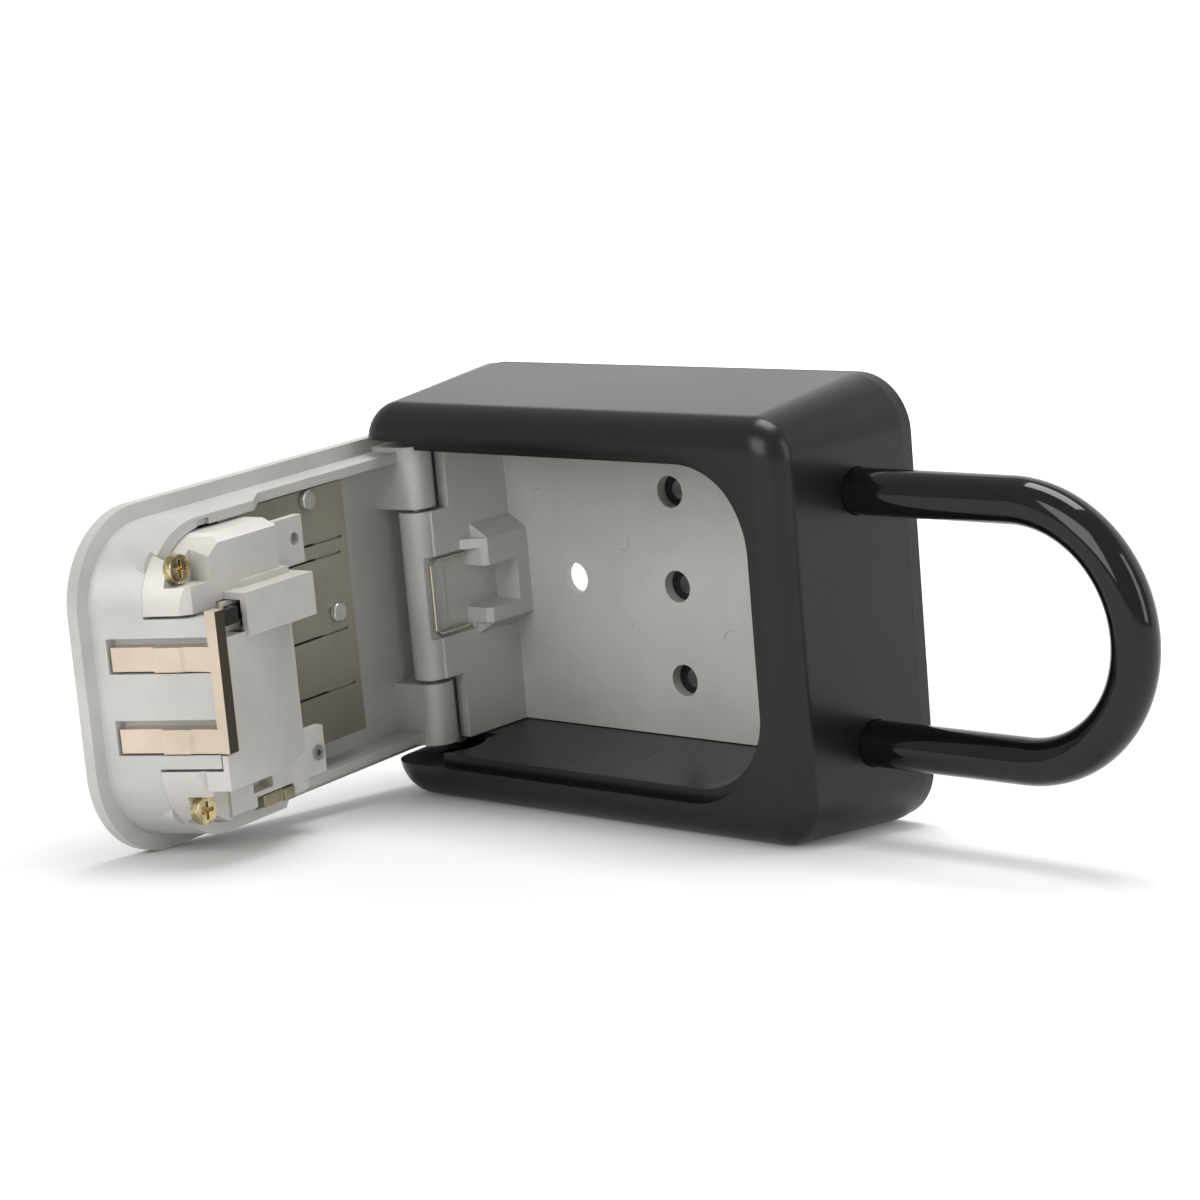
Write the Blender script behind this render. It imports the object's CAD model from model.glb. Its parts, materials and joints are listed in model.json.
"""Finishes and softened edges for a combination key lock box that lies open on its side."""

import json
import math

import bmesh
import bpy
from mathutils import Matrix, Vector


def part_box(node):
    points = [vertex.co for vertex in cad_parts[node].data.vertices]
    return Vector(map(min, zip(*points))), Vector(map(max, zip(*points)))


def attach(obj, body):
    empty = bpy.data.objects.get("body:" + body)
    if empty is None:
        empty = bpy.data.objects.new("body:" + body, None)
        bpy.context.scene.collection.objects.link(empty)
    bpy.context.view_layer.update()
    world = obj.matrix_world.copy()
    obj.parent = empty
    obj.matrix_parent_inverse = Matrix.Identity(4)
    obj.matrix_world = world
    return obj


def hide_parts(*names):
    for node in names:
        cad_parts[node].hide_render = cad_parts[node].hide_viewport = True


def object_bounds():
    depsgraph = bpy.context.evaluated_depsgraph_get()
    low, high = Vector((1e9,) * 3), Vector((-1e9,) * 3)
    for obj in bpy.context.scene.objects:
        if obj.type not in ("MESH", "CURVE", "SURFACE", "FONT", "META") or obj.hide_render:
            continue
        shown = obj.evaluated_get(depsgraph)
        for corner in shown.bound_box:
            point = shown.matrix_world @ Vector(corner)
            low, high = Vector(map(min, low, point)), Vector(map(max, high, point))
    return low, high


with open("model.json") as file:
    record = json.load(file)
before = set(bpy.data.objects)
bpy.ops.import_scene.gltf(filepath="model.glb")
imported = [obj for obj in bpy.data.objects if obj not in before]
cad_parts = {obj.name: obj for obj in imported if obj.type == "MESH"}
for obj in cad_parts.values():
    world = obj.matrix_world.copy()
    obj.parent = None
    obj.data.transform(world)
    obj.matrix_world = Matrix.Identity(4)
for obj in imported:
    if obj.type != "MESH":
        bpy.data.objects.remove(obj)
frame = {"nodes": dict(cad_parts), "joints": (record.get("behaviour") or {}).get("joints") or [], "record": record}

bl_info = {
    "name": "Key Lock Box Finishes",
    "version": (1, 0, 0),
    "blender": (4, 5, 0),
    "location": "View3D > Sidebar > Lock Box",
    "description": "Gives the parts of a combination key lock box their edges, metals and paint",
    "category": "Object",
}


def corners(box):
    return [[float(value) for value in corner] for corner in box]


CAD_BOX = corners(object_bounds())
NODES = frame["nodes"]
BODY_OF = {
    node: body for body, nodes in frame["record"]["behaviour"]["bodies"].items() for node in nodes
}
SLOT_OF = {part["node"]: part["material_slot"] for part in frame["record"]["subparts"]}
JOINTS = {joint["name"]: joint for joint in frame["joints"]}
MOUNTS = {mount["name"]: mount for mount in frame["record"]["mounts"]}
DIAL_NAMES = sorted(name for name in NODES if name.startswith("dial_") and name != "dial_axle")
MM = 0.001

# How a copied mesh is cleaned and shaded: metres, then degrees
WELD_WITHIN = 2e-6
FLAT_WITHIN = 0.4
SHARP_ABOVE = 32.0

# The smallest angle between faces whose edge is rounded, in degrees
ROUND_ABOVE = 28.0

# How much wider than the named edge some parts are rounded
WIDER = {
    "rear_plate": 1.2,
    "spring_pegs": 2.5,
    "dial": 1.6,
    "latch_bracket": 1.6,
    "open_lever": 2.0,
}

# Rounding of the shackle sleeve's ends, in millimetres
SLEEVE_EDGE = 0.3

# How far the skin of the hinge spring's wire is drawn in, in millimetres
WIRE_SLIMMER = 0.2

# Finishes that are no user's choice
BLACK_OXIDE = (0.035, 0.035, 0.035)
LEVER_BLACK = (0.02, 0.02, 0.02)
OLIVE_CHROMATE = (0.42, 0.38, 0.26)
SCREW_PATCHES = (0.30, 0.25, 0.13)
LATCH_SIDE = (0.075, 0.062, 0.045)

# How deep the latch's dark side reaches, in millimetres
LATCH_SIDE_DEPTH = 0.6

# How squarely a face must look along a direction to count as facing it
FACING = 0.6

# Marks on the chamber's back wall: millimetres along and across from the single hole,
# and the angle in degrees where each arc starts
MARKS = (
    (14.0, 8.6, -110.0),
    (13.2, -8.9, -20.0),
    (41.0, -10.0, 60.0),
    (-10.1, -17.1, 10.0),
    (-8.5, 17.0, 80.0),
)

# Rings along an arc, degrees between them, sides of its section and its radius in millimetres
MARK_RINGS = 13
MARK_STEP = 12.5
MARK_SIDES = 6
MARK_SECTION = 0.2

# Digits round a dial: degrees from one to the next and where 0 lies, in the door's window
DIGITS = 10
DIGIT_STEP = 36.0
ZERO_AT = -90.0

# Digits as letters: type size over height, and millimetres sunk into the dial and raised
TYPE_SIZE = 1.4
DIGIT_SUNK = 0.04
DIGIT_RAISED = 0.05

# Floor and backdrop in metres: a flat run, a bend that rises from it and a wall
FLOOR_FRONT = -2.5
FLOOR_DEPTH = 4.0
FLOOR_HALF_WIDTH = 3.5
BEND_START = 1.5
BEND_RADIUS = 1.2
WALL_AT = 2.7
WALL_TOP = 3.5
FLOOR_STEPS = 12

# Lamps: name, place and size across and along in metres, watts
LAMPS = (
    ("key", (0.0, 0.1, 1.15), (0.7, 0.55), 9.0),
    ("fill", (0.1, -1.25, 0.5), (0.8, 0.8), 7.5),
    ("side", (1.2, 0.1, 0.45), (0.3, 0.9), 3.0),
)
LAMP_AIM = (0.0, -0.03, 0.0)

# How strongly the surrounding white lights the scene
SKY_LIGHT = 0.52

# The camera: degrees, place and near clip in metres, lens and sensor in millimetres
VIEW = {
    "azimuth": 41.125,
    "elevation": 7.016,
    "roll": -0.918,
    "place": (0.42150, -0.51169, 0.07794),
    "lens": 97.06,
    "sensor": 36.0,
    "near": 0.02,
}

# Sockets of the colour form of the Mix node
MIX_SHARE, MIX_FIRST, MIX_SECOND = 0, 6, 7
MIX_RESULT = 2


# ---- shader expressions ----


class Num:
    """A number that varies over a surface, for use in plain arithmetic."""

    def __init__(self, paint, socket):
        self.paint = paint
        self.socket = socket

    def _math(self, operation, first, second):
        return self.paint.add("ShaderNodeMath", {"operation": operation}, {0: first, 1: second})[0]

    def __add__(self, other):
        return self._math("ADD", self, other)

    __radd__ = __add__

    def __sub__(self, other):
        return self._math("SUBTRACT", self, other)

    def __rsub__(self, other):
        return self._math("SUBTRACT", other, self)

    def __mul__(self, other):
        return self._math("MULTIPLY", self, other)

    __rmul__ = __mul__

    def above(self, edge):
        return self._math("GREATER_THAN", self, edge)


class Made:
    """A node that has been made. Its outputs are read by name or number."""

    def __init__(self, paint, node):
        self.paint = paint
        self.node = node

    def __getitem__(self, key):
        return Num(self.paint, self.node.outputs[key])


class Paint:
    """One material and the nodes in it."""

    def __init__(self, name):
        self.material = bpy.data.materials.new(name)
        self.material.use_nodes = True
        self.tree = self.material.node_tree
        self.tree.nodes.clear()

    def add(self, kind, settings=None, sockets=None):
        node = self.tree.nodes.new(kind)
        for key, value in (settings or {}).items():
            if key == "stops":
                self._stops(node.color_ramp, value)
            else:
                setattr(node, key, value)
        for key, value in (sockets or {}).items():
            if isinstance(value, Num):
                self.tree.links.new(value.socket, node.inputs[key])
            else:
                node.inputs[key].default_value = value
        return Made(self, node)

    @staticmethod
    def _stops(ramp, stops):
        while len(ramp.elements) < len(stops):
            ramp.elements.new(1.0)
        for element, (place, colour) in zip(ramp.elements, stops):
            element.position = place
            element.color = (*colour[:3], 1.0)

    def place(self):
        return self.add("ShaderNodeTexCoord")["Object"]

    def _dot(self, vector, direction):
        sockets = {0: vector, 1: tuple(direction)}
        return self.add("ShaderNodeVectorMath", {"operation": "DOT_PRODUCT"}, sockets)["Value"]

    def facing(self, direction):
        """How squarely a face looks in a direction, 1 when it looks straight that way."""
        return self._dot(self.add("ShaderNodeTexCoord")["Normal"], direction)

    def along(self, direction):
        """How far a place lies in a direction, in metres."""
        return self._dot(self.place(), direction)

    def noise(self, scale, detail, rough):
        sockets = {"Vector": self.place(), "Scale": scale, "Detail": detail, "Roughness": rough}
        return self.add("ShaderNodeTexNoise", None, sockets)["Fac"]

    def ramp(self, value, stops):
        return self.add("ShaderNodeValToRGB", {"stops": stops}, {"Fac": value})["Color"]

    def mix(self, share, first, second):
        """The first colour where share is 0 and the second where it is 1. share and first vary."""
        sockets = {MIX_SHARE: share, MIX_FIRST: first, MIX_SECOND: (*second[:3], 1.0)}
        return self.add("ShaderNodeMix", {"data_type": "RGBA"}, sockets)[MIX_RESULT]

    def bump(self, height, strength, distance):
        sockets = {"Height": height, "Strength": strength, "Distance": distance}
        return self.add("ShaderNodeBump", None, sockets)["Normal"]

    def finish(self, **sockets):
        surface = {}
        for key, value in sockets.items():
            name = key.replace("_", " ").title()
            name = {"Ior": "IOR", "Specular Level": "Specular IOR Level"}.get(name, name)
            if name in ("Base Color", "Emission Color") and not isinstance(value, Num):
                value = (*value[:3], 1.0)
            surface[name] = value
        shader = self.add("ShaderNodeBsdfPrincipled", None, surface)
        out = self.add("ShaderNodeOutputMaterial")
        self.tree.links.new(shader.node.outputs[0], out.node.inputs[0])
        return self.material


def tint(colour, share):
    """The colour made lighter, or darker where share is below 1."""
    return tuple(min(1.0, channel * share) for channel in colour[:3])


def grey(level):
    return (level, level, level)


def clouded(paint, cloud, colour, dark, light):
    """The colour with clouds in it. dark and light are each a place on the noise and a tint."""
    return paint.ramp(cloud, [(place, tint(colour, share)) for place, share in (dark, light)])


def cast_zinc(name, colour, metal, rough):
    """Bare die casting: cloudy grey with fine grain and a few darker stains."""
    paint = Paint(name)
    cloud = paint.noise(scale=42.0, detail=4.0, rough=0.6)
    grain = paint.noise(scale=1900.0, detail=2.0, rough=0.6)
    stain = paint.noise(scale=11.0, detail=5.0, rough=0.65)
    base = clouded(paint, cloud, colour, dark=(0.3, 0.9), light=(0.72, 1.08))
    stained = paint.ramp(stain, [(0.56, grey(0.0)), (0.78, grey(0.35))])
    base = paint.mix(stained, base, tint(colour, 0.78))
    bumps = paint.bump(grain * 0.7 + cloud * 0.6, strength=0.25, distance=0.12 * MM)
    return paint.finish(
        base_color=base,
        metallic=metal,
        roughness=rough - 0.08 + cloud * 0.16,
        normal=bumps,
        specular_level=0.5,
    )


def powder_coat(name, colour, rough):
    """Satin black paint with a fine orange-peel texture."""
    paint = Paint(name)
    peel = paint.noise(scale=900.0, detail=2.0, rough=0.45)
    cloud = paint.noise(scale=25.0, detail=3.0, rough=0.5)
    base = clouded(paint, cloud, colour, dark=(0.3, 0.88), light=(0.75, 1.15))
    return paint.finish(
        base_color=base,
        roughness=rough - 0.03 + cloud * 0.06,
        normal=paint.bump(peel, strength=0.16, distance=0.08 * MM),
        specular_level=0.34,
    )


def plated_steel(name, colour, metal, rough, grain=700.0, blotch=None, dark_side=None):
    """Plated or bright steel with fine drawing marks.

    blotch is a second colour that shows in patches. dark_side is a direction, how far along it
    the dark faces begin, and their colour.
    """
    paint = Paint(name)
    marks = paint.noise(scale=grain, detail=3.0, rough=0.6)
    cloud = paint.noise(scale=60.0, detail=3.0, rough=0.5)
    base = clouded(paint, cloud, colour, dark=(0.3, 0.86), light=(0.74, 1.1))
    if blotch:
        spots = paint.noise(scale=400.0, detail=2.0, rough=0.5)
        base = paint.mix(paint.ramp(spots, [(0.47, grey(0.0)), (0.6, grey(0.85))]), base, blotch)
    if dark_side:
        direction, start, shade = dark_side
        dark = paint.facing(direction).above(FACING) * paint.along(direction).above(start)
        base = paint.mix(dark, base, shade)
    return paint.finish(
        base_color=base,
        metallic=metal,
        roughness=rough - 0.05 + marks * 0.12,
        normal=paint.bump(marks, strength=0.12, distance=0.06 * MM),
    )


def smooth_plastic(name, colour, rough, specular_level=0.5):
    """Moulded plastic or vinyl with a faint unevenness."""
    paint = Paint(name)
    cloud = paint.noise(scale=180.0, detail=3.0, rough=0.5)
    return paint.finish(
        base_color=clouded(paint, cloud, colour, dark=(0.3, 0.9), light=(0.75, 1.12)),
        roughness=rough - 0.02 + cloud * 0.04,
        normal=paint.bump(cloud, strength=0.05, distance=0.2 * MM),
        specular_level=specular_level,
    )


# ---- mesh helpers ----


def material_for(piece, material):
    piece.data.materials.clear()
    piece.data.materials.append(material)


def make_piece(name, mesh, body, slot, material):
    piece = bpy.data.objects.new(name, mesh)
    bpy.context.scene.collection.objects.link(piece)
    material_for(piece, material)
    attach(piece, body)
    return piece


def rounded_copy(node, material, width, angle=ROUND_ABOVE, segments=2, slimmer=0.0):
    """A copy of a rigid part with its sharp edges rounded, which then stands for it.

    width and slimmer are millimetres. slimmer draws the part's skin in.
    """
    mesh = bpy.data.meshes.new(node + "_rounded")
    work = bmesh.new()
    work.from_mesh(NODES[node].data)
    bmesh.ops.remove_doubles(work, verts=work.verts, dist=WELD_WITHIN)
    if slimmer:
        work.normal_update()
        for vert in work.verts:
            vert.co -= vert.normal * slimmer * MM
    flat = math.radians(FLAT_WITHIN)
    bmesh.ops.dissolve_limit(work, angle_limit=flat, verts=work.verts, edges=work.edges)
    work.to_mesh(mesh)
    work.free()
    piece = make_piece(node + "_rounded", mesh, BODY_OF[node], SLOT_OF[node], material)
    if width > 0:
        bevel = piece.modifiers.new("round", "BEVEL")
        bevel.width = width * MM
        bevel.segments = segments
        bevel.limit_method = "ANGLE"
        bevel.angle_limit = math.radians(angle)
        bevel.use_clamp_overlap = True
        bevel.miter_outer = "MITER_ARC"
    apply_modifiers(piece)
    piece.data.shade_smooth()
    piece.data.set_sharp_from_angle(angle=math.radians(SHARP_ABOVE))
    level = piece.modifiers.new("level", "WEIGHTED_NORMAL")
    level.mode = "FACE_AREA"
    level.keep_sharp = True
    apply_modifiers(piece)
    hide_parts(node)


def apply_modifiers(piece):
    evaluated = bpy.context.evaluated_depsgraph_get()
    bpy.context.view_layer.update()
    finished = bpy.data.meshes.new_from_object(piece.evaluated_get(evaluated))
    old = piece.data
    piece.modifiers.clear()
    piece.data = finished
    finished.name = old.name
    bpy.data.meshes.remove(old)


def dress(node, material):
    material_for(NODES[node], material)


# ---- the door's own directions: across it, along it from the hinge, and into the box ----

DOOR_Z = -Vector(JOINTS["door_hinge"]["axis"]).normalized()
DOOR_U = Vector(JOINTS["latch_slide"]["axis"]).normalized()
DOOR_W = DOOR_Z.cross(DOOR_U)


# ---- what a user may change ----


def colour_property(name, description, default):
    return bpy.props.FloatVectorProperty(
        name=name,
        description=description,
        subtype="COLOR",
        size=3,
        min=0.0,
        max=1.0,
        default=default,
    )


def length_property(name, description, default, least=0.0):
    """A length whose default and least value are given in millimetres."""
    return bpy.props.FloatProperty(
        name=name,
        description=description,
        default=default * MM,
        min=least * MM,
        unit="LENGTH",
    )


class LOCKBOX_colours(bpy.types.PropertyGroup):
    """Colours of the finishes."""

    shell: colour_property("Shell", "Satin black of the outer shell", (0.007, 0.007, 0.006))
    chamber: colour_property("Chamber", "Grey of the inner casting", (0.540, 0.545, 0.520))
    door: colour_property("Door", "Grey of the door casting", (0.520, 0.515, 0.490))
    cover: colour_property("Cover", "Grey of the mechanism cover", (0.575, 0.560, 0.525))
    spring_plate: colour_property("Spring plate", "Nickel of the spring plate", (0.40, 0.37, 0.31))
    latch: colour_property("Latch", "Copper-coloured plate on the latch", (0.640, 0.540, 0.430))
    link: colour_property("Link", "Black oxide of the latch's link", (0.030, 0.030, 0.028))
    chromate: colour_property("Screws", "Yellow zinc on the cover's screws", (0.760, 0.640, 0.360))
    brass: colour_property("Brass", "Hubs of the dials", (0.720, 0.520, 0.240))
    wire: colour_property("Wire", "Plated wire of the hinge spring", (0.600, 0.560, 0.460))
    steel: colour_property("Steel", "Steel of pins, springs and shackle", (0.620, 0.620, 0.600))
    sleeve: colour_property("Sleeve", "Black vinyl of the shackle", (0.004, 0.004, 0.004))
    dial: colour_property("Dials", "Plastic of the dials", (0.740, 0.710, 0.630))
    digits: colour_property("Digits", "Paint of the digits", (0.015, 0.015, 0.015))
    button: colour_property("Button", "Plastic of the release button", (0.420, 0.030, 0.020))
    floor: colour_property("Floor", "Floor and backdrop", (0.800, 0.800, 0.800))


class LOCKBOX_sizes(bpy.types.PropertyGroup):
    """Sizes of the details that are added to the parts."""

    cast_edge: length_property("Cast edge", "Rounding of the castings' edges", 0.30)
    pressed_edge: length_property("Pressed edge", "Rounding of pressed and turned edges", 0.15)
    mark_width: length_property("Mark width", "Width across an ejector mark", 3.4, least=0.5)
    digit_height: length_property("Digit height", "Height of a digit on a dial", 4.6, least=1.0)


def colours():
    return bpy.context.scene.lockbox_colours


def sizes():
    return bpy.context.scene.lockbox_sizes


def cast_edge():
    """The rounding of a casting's edges, in millimetres."""
    return sizes().cast_edge / MM


def pressed_edge():
    """The rounding of a pressed or turned edge, in millimetres."""
    return sizes().pressed_edge / MM


# ---- operators, one for each group of pieces ----


class LOCKBOX_OT_shell(bpy.types.Operator):
    """Paint the outer shell, its rear plate and the rear screws"""

    bl_idname = "lockbox.shell"
    bl_label = "Shell"

    def execute(self, context):
        rounded_copy(
            "outer_shell",
            powder_coat("shell paint", colours().shell, rough=0.28),
            cast_edge(),
            angle=35.0,
        )
        rounded_copy(
            "rear_plate",
            powder_coat("plate paint", tint(colours().shell, 0.8), rough=0.42),
            cast_edge() * WIDER["rear_plate"],
        )
        dress("rear_screws", plated_steel("black oxide", BLACK_OXIDE, metal=0.6, rough=0.4))
        return {"FINISHED"}


class LOCKBOX_OT_chamber(bpy.types.Operator):
    """Finish the inner casting, the hinge pin and the hinge spring"""

    bl_idname = "lockbox.chamber"
    bl_label = "Chamber"

    def execute(self, context):
        zinc = cast_zinc("chamber zinc", colours().chamber, metal=0.15, rough=0.5)
        rounded_copy("inner_casting", zinc, cast_edge())
        self.ejector_marks(zinc)
        dress("hinge_pin", plated_steel("pin steel", colours().steel, metal=0.9, rough=0.25))
        wire = plated_steel("spring wire", colours().wire, metal=0.9, rough=0.25)
        rounded_copy("hinge_spring", wire, 0, slimmer=WIRE_SLIMMER)
        dress("release_button", smooth_plastic("button plastic", colours().button, rough=0.4))
        return {"FINISHED"}

    @staticmethod
    def ejector_marks(zinc):
        """Fine raised arcs that the mould's ejector pins leave on the chamber's back wall."""
        hole = MOUNTS["cable_hole"]
        inward = Vector(hole["axis"]).normalized()
        face = Vector(hole["pos_m"]) - inward * hole["dims"]["length_mm"] / 2 * MM
        across = Vector((1.0, 0.0, 0.0))
        radius = sizes().mark_width / 2
        work = bmesh.new()
        for x, z, start in MARKS:
            centre = face + (across * x + DOOR_Z * z) * MM
            rings = []
            for step in range(MARK_RINGS):
                angle = math.radians(start + MARK_STEP * step)
                out = across * math.cos(angle) + DOOR_Z * math.sin(angle)
                middle = centre + out * radius
                ring = []
                for side in range(MARK_SIDES):
                    turn = math.radians(360.0 / MARK_SIDES * side)
                    spoke = out * math.cos(turn) + inward * math.sin(turn)
                    ring.append(work.verts.new(middle + spoke * MARK_SECTION * MM))
                rings.append(ring)
            for first, second in zip(rings, rings[1:]):
                for side in range(MARK_SIDES):
                    after = (side + 1) % MARK_SIDES
                    work.faces.new((first[side], first[after], second[after], second[side]))
            work.faces.new(rings[0][::-1])
            work.faces.new(rings[-1])
        bmesh.ops.recalc_face_normals(work, faces=work.faces)
        mesh = bpy.data.meshes.new("ejector_marks")
        work.to_mesh(mesh)
        work.free()
        make_piece("ejector_marks", mesh, BODY_OF["inner_casting"], SLOT_OF["inner_casting"], zinc)


class LOCKBOX_OT_door(bpy.types.Operator):
    """Finish the door casting"""

    bl_idname = "lockbox.door"
    bl_label = "Door"

    def execute(self, context):
        zinc = cast_zinc("door zinc", colours().door, metal=0.3, rough=0.5)
        rounded_copy("door_casting", zinc, cast_edge())
        return {"FINISHED"}


class LOCKBOX_OT_cover(bpy.types.Operator):
    """Finish the mechanism cover with its screws and rivet"""

    bl_idname = "lockbox.cover"
    bl_label = "Mechanism cover"

    def execute(self, context):
        zinc = cast_zinc("cover zinc", colours().cover, metal=0.35, rough=0.48)
        rounded_copy("mechanism_cover", zinc, cast_edge())
        yellow = plated_steel(
            "yellow zinc", colours().chromate, metal=0.95, rough=0.2, blotch=SCREW_PATCHES
        )
        rounded_copy("cover_screws", yellow, pressed_edge())
        rivet = plated_steel("rivet steel", tint(colours().steel, 0.8), metal=0.7, rough=0.3)
        dress("cover_rivet", rivet)
        return {"FINISHED"}


class LOCKBOX_OT_springs(bpy.types.Operator):
    """Finish the detent plate, its pegs and the coil springs"""

    bl_idname = "lockbox.springs"
    bl_label = "Springs"

    def execute(self, context):
        nickel = plated_steel(
            "dark nickel", colours().spring_plate, metal=0.8, rough=0.36, grain=300.0
        )
        rounded_copy("spring_plate", nickel, pressed_edge())
        steel = plated_steel("peg steel", colours().steel, metal=0.9, rough=0.3)
        rounded_copy("spring_pegs", steel, pressed_edge() * WIDER["spring_pegs"], segments=3)
        for node in ("latch_spring", "lock_spring"):
            dress(node, steel)
        return {"FINISHED"}


class LOCKBOX_OT_dials(bpy.types.Operator):
    """Finish the dials and hubs, and put the digits 0 to 9 round each dial"""

    bl_idname = "lockbox.dials"
    bl_label = "Dials"

    def execute(self, context):
        plastic = smooth_plastic("dial plastic", colours().dial, rough=0.32)
        paint = smooth_plastic("digit paint", colours().digits, rough=0.4)
        brass = plated_steel("hub brass", colours().brass, metal=0.9, rough=0.35)
        for name in DIAL_NAMES:
            rounded_copy(name, plastic, pressed_edge() * WIDER["dial"])
            dress(name.replace("dial", "hub"), brass)
            self.number(name, paint)
        dress("dial_axle", plated_steel("axle steel", colours().steel, metal=0.9, rough=0.25))
        return {"FINISHED"}

    def number(self, name, paint):
        joint = JOINTS[name + "_spin"]
        low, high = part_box(name)
        axis = Vector(joint["axis"]).normalized()
        along = ((low + high) / 2 - Vector(joint["pos_m"])).dot(axis)
        centre = Vector(joint["pos_m"]) + axis * along
        radius = max((v.co - centre).cross(axis).length for v in NODES[name].data.vertices)
        work = bmesh.new()
        for digit in range(DIGITS):
            angle = math.radians(DIGIT_STEP * digit + ZERO_AT)
            out = DOOR_U * math.cos(angle) + DOOR_W * math.sin(angle)
            up = DOOR_W * math.cos(angle) - DOOR_U * math.sin(angle)
            place = centre + out * (radius - DIGIT_SUNK * MM)
            self.stamp(work, str(digit), place, up.cross(out), up, out)
        mesh = bpy.data.meshes.new(name + "_digits")
        work.to_mesh(mesh)
        work.free()
        make_piece(name + "_digits", mesh, BODY_OF[name], SLOT_OF[name], paint)

    @staticmethod
    def stamp(work, text, place, right, up, out):
        curve = bpy.data.curves.new("digit", "FONT")
        curve.body = text
        curve.size = sizes().digit_height * TYPE_SIZE
        curve.extrude = DIGIT_RAISED * MM
        curve.resolution_u = 3
        curve.align_x = "CENTER"
        curve.align_y = "CENTER"
        holder = bpy.data.objects.new("digit", curve)
        bpy.context.scene.collection.objects.link(holder)
        bpy.context.view_layer.update()
        shape = holder.to_mesh()
        turn = Matrix((right, up, out)).transposed().to_4x4()
        shape.transform(Matrix.Translation(place) @ turn)
        work.from_mesh(shape)
        holder.to_mesh_clear()
        bpy.data.objects.remove(holder)
        bpy.data.curves.remove(curve)


class LOCKBOX_OT_latch(bpy.types.Operator):
    """Finish the latch, its link, the open lever and the reset lever"""

    bl_idname = "lockbox.latch"
    bl_label = "Latch and levers"

    def execute(self, context):
        outer = max(vert.co.dot(DOOR_W) for vert in NODES["latch_bracket"].data.vertices)
        side = (DOOR_W, outer - LATCH_SIDE_DEPTH * MM, LATCH_SIDE)
        plate = plated_steel("latch plate", colours().latch, metal=0.6, rough=0.36, dark_side=side)
        rounded_copy("latch_bracket", plate, pressed_edge() * WIDER["latch_bracket"])
        link = plated_steel("link steel", colours().link, metal=0.5, rough=0.4)
        rounded_copy("latch_link", link, pressed_edge())
        plastic = smooth_plastic("lever plastic", LEVER_BLACK, rough=0.4)
        rounded_copy("open_lever", plastic, pressed_edge() * WIDER["open_lever"])
        olive = plated_steel("olive chromate", OLIVE_CHROMATE, metal=0.8, rough=0.32)
        rounded_copy("reset_lever", olive, pressed_edge())
        return {"FINISHED"}


class LOCKBOX_OT_shackle(bpy.types.Operator):
    """Finish the shackle, its sleeve and the lock bar"""

    bl_idname = "lockbox.shackle"
    bl_label = "Shackle"

    def execute(self, context):
        vinyl = smooth_plastic("black vinyl", colours().sleeve, rough=0.07, specular_level=0.38)
        rounded_copy("shackle_sleeve", vinyl, SLEEVE_EDGE, angle=40.0)
        dress("shackle_core", plated_steel("shackle steel", colours().steel, metal=0.9, rough=0.22))
        bar = plated_steel("lock bar steel", colours().steel, metal=0.85, rough=0.35)
        dress("shackle_lock", bar)
        return {"FINISHED"}


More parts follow.
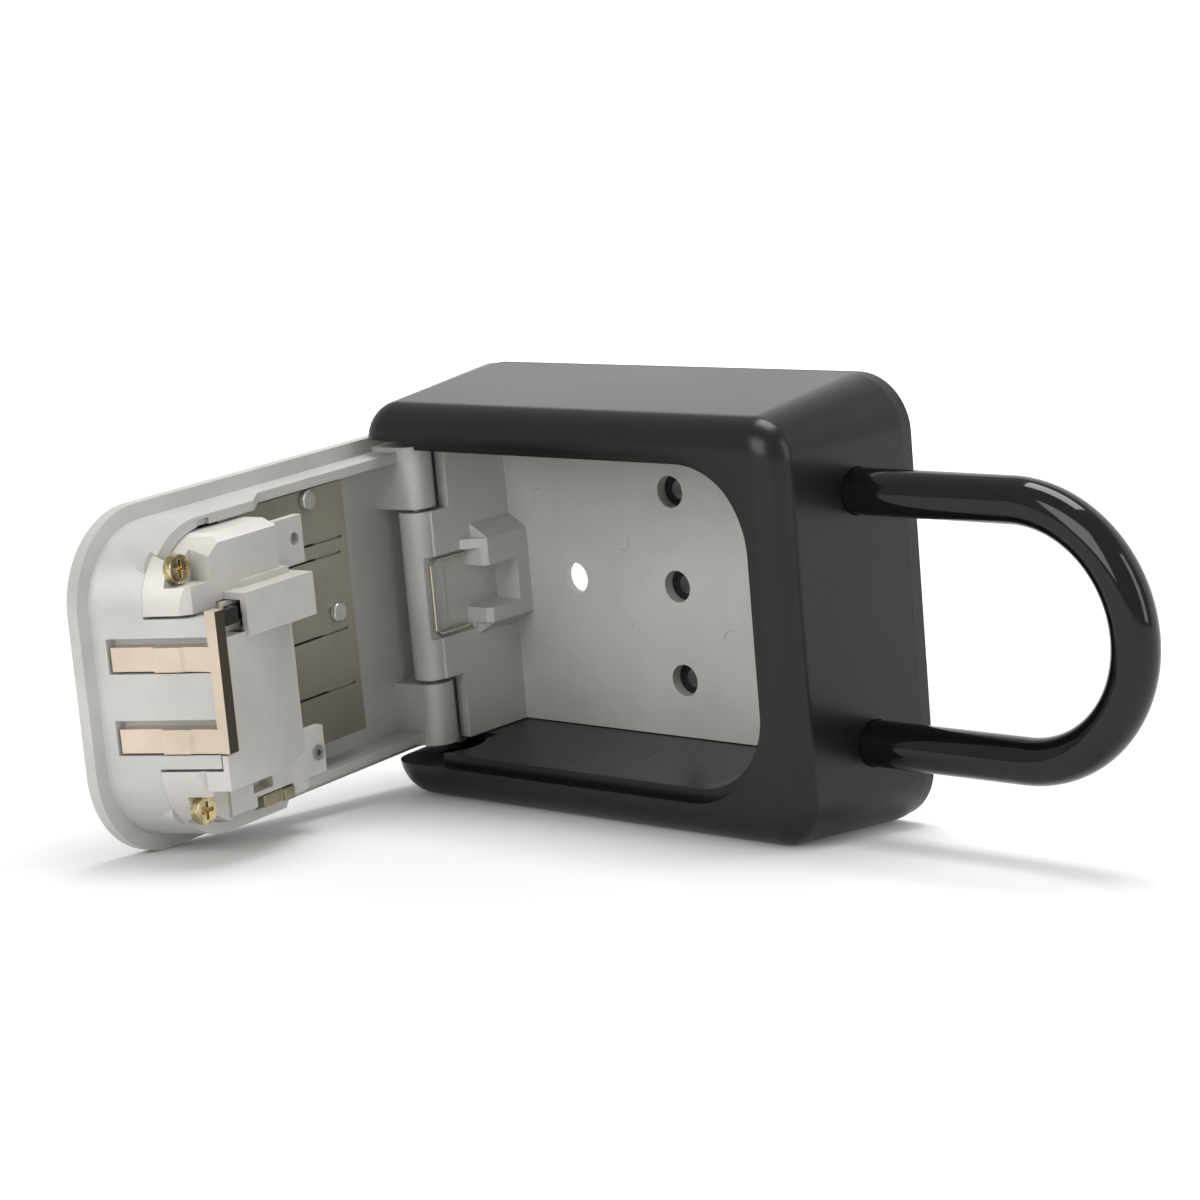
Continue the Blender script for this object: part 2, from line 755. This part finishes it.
class LOCKBOX_OT_stage(bpy.types.Operator):
    """Set out the floor, the backdrop, the lamps and the camera"""

    bl_idname = "lockbox.stage"
    bl_label = "Stage"

    def execute(self, context):
        scene = context.scene
        scene.view_settings.view_transform = "Standard"
        self.floor(CAD_BOX[0][2])
        self.world(scene)
        for lamp in LAMPS:
            self.lamp(*lamp)
        self.camera(scene)
        return {"FINISHED"}

    @staticmethod
    def floor(height):
        work = bmesh.new()
        rows = []
        ends = (-FLOOR_HALF_WIDTH, FLOOR_HALF_WIDTH)
        for step in range(FLOOR_STEPS):
            y = FLOOR_FRONT + FLOOR_DEPTH * step / FLOOR_STEPS
            rows.append([work.verts.new((x, y, height)) for x in ends])
        for step in range(FLOOR_STEPS + 1):
            angle = math.radians(90.0 * step / FLOOR_STEPS)
            y = BEND_START + BEND_RADIUS * math.sin(angle)
            z = BEND_RADIUS - BEND_RADIUS * math.cos(angle)
            rows.append([work.verts.new((x, y, z + height)) for x in ends])
        rows.append([work.verts.new((x, WALL_AT, WALL_TOP)) for x in ends])
        for first, second in zip(rows, rows[1:]):
            work.faces.new((first[0], first[1], second[1], second[0]))
        mesh = bpy.data.meshes.new("floor")
        work.to_mesh(mesh)
        work.free()
        mesh.shade_smooth()
        floor = bpy.data.objects.new("floor", mesh)
        bpy.context.scene.collection.objects.link(floor)
        paper = Paint("floor paper")
        cloud = paper.noise(scale=2.0, detail=2.0, rough=0.5)
        split = paper.add("ShaderNodeSeparateXYZ", None, {"Vector": paper.place()})
        # the paper glows more the further back it lies, so that it fades into the white
        depth = split["Y"] * 0.5 + 0.15
        paint = paper.finish(
            base_color=clouded(paper, cloud, colours().floor, dark=(0.2, 0.99), light=(0.8, 1.0)),
            roughness=0.7,
            specular_level=0.15,
            emission_color=paper.ramp(depth, [(0.1, grey(0.0)), (0.6, grey(0.70))]),
            emission_strength=1.0,
        )
        material_for(floor, paint)

    @staticmethod
    def world(scene):
        world = bpy.data.worlds.new("studio")
        world.use_nodes = True
        tree = world.node_tree
        tree.nodes.clear()
        light = tree.nodes.new("ShaderNodeBackground")
        light.inputs["Color"].default_value = (1.0, 1.0, 1.0, 1.0)
        # plain white where the camera sees it, softer as a light
        path = tree.nodes.new("ShaderNodeLightPath")
        level = tree.nodes.new("ShaderNodeMath")
        level.operation = "MULTIPLY_ADD"
        level.inputs[1].default_value = 1.0 - SKY_LIGHT
        level.inputs[2].default_value = SKY_LIGHT
        tree.links.new(path.outputs["Is Camera Ray"], level.inputs[0])
        tree.links.new(level.outputs[0], light.inputs["Strength"])
        out = tree.nodes.new("ShaderNodeOutputWorld")
        tree.links.new(light.outputs[0], out.inputs[0])
        scene.world = world

    @staticmethod
    def lamp(name, place, size, power):
        data = bpy.data.lights.new(name, "AREA")
        data.shape = "RECTANGLE"
        data.size, data.size_y = size
        data.energy = power
        lamp = bpy.data.objects.new(name, data)
        lamp.location = place
        aim = Vector(LAMP_AIM) - lamp.location
        lamp.rotation_euler = aim.to_track_quat("-Z", "Y").to_euler()
        bpy.context.scene.collection.objects.link(lamp)

    @staticmethod
    def camera(scene):
        data = bpy.data.cameras.new("camera")
        data.sensor_width = VIEW["sensor"]
        data.lens = VIEW["lens"]
        data.clip_start = VIEW["near"]
        camera = bpy.data.objects.new("camera", data)
        turn = Matrix.Rotation(math.radians(VIEW["azimuth"]), 4, "Z")
        turn = turn @ Matrix.Rotation(math.radians(90.0 - VIEW["elevation"]), 4, "X")
        turn = turn @ Matrix.Rotation(math.radians(VIEW["roll"]), 4, "Z")
        camera.matrix_world = Matrix.Translation(VIEW["place"]) @ turn
        scene.collection.objects.link(camera)
        scene.camera = camera


OPERATORS = (
    LOCKBOX_OT_shell,
    LOCKBOX_OT_chamber,
    LOCKBOX_OT_door,
    LOCKBOX_OT_cover,
    LOCKBOX_OT_springs,
    LOCKBOX_OT_dials,
    LOCKBOX_OT_latch,
    LOCKBOX_OT_shackle,
    LOCKBOX_OT_stage,
)


class LOCKBOX_PT_panel(bpy.types.Panel):
    """Lists the steps and the sizes and colours they use"""

    bl_idname = "LOCKBOX_PT_panel"
    bl_label = "Lock Box"
    bl_space_type = "VIEW_3D"
    bl_region_type = "UI"
    bl_category = "Lock Box"

    def draw(self, context):
        column = self.layout.column(align=True)
        for operator in OPERATORS:
            column.operator(operator.bl_idname)
        for group in (context.scene.lockbox_sizes, context.scene.lockbox_colours):
            box = self.layout.box()
            for name in group.bl_rna.properties.keys():
                if name not in ("rna_type", "name"):
                    box.prop(group, name)


CLASSES = (LOCKBOX_colours, LOCKBOX_sizes, *OPERATORS, LOCKBOX_PT_panel)


def register():
    for cls in CLASSES:
        bpy.utils.register_class(cls)
    bpy.types.Scene.lockbox_colours = bpy.props.PointerProperty(type=LOCKBOX_colours)
    bpy.types.Scene.lockbox_sizes = bpy.props.PointerProperty(type=LOCKBOX_sizes)


def unregister():
    del bpy.types.Scene.lockbox_sizes
    del bpy.types.Scene.lockbox_colours
    for cls in reversed(CLASSES):
        bpy.utils.unregister_class(cls)


def main():
    register()
    for operator in OPERATORS:
        group, name = operator.bl_idname.split(".")
        getattr(getattr(bpy.ops, group), name)()


if __name__ == "__main__":
    main()
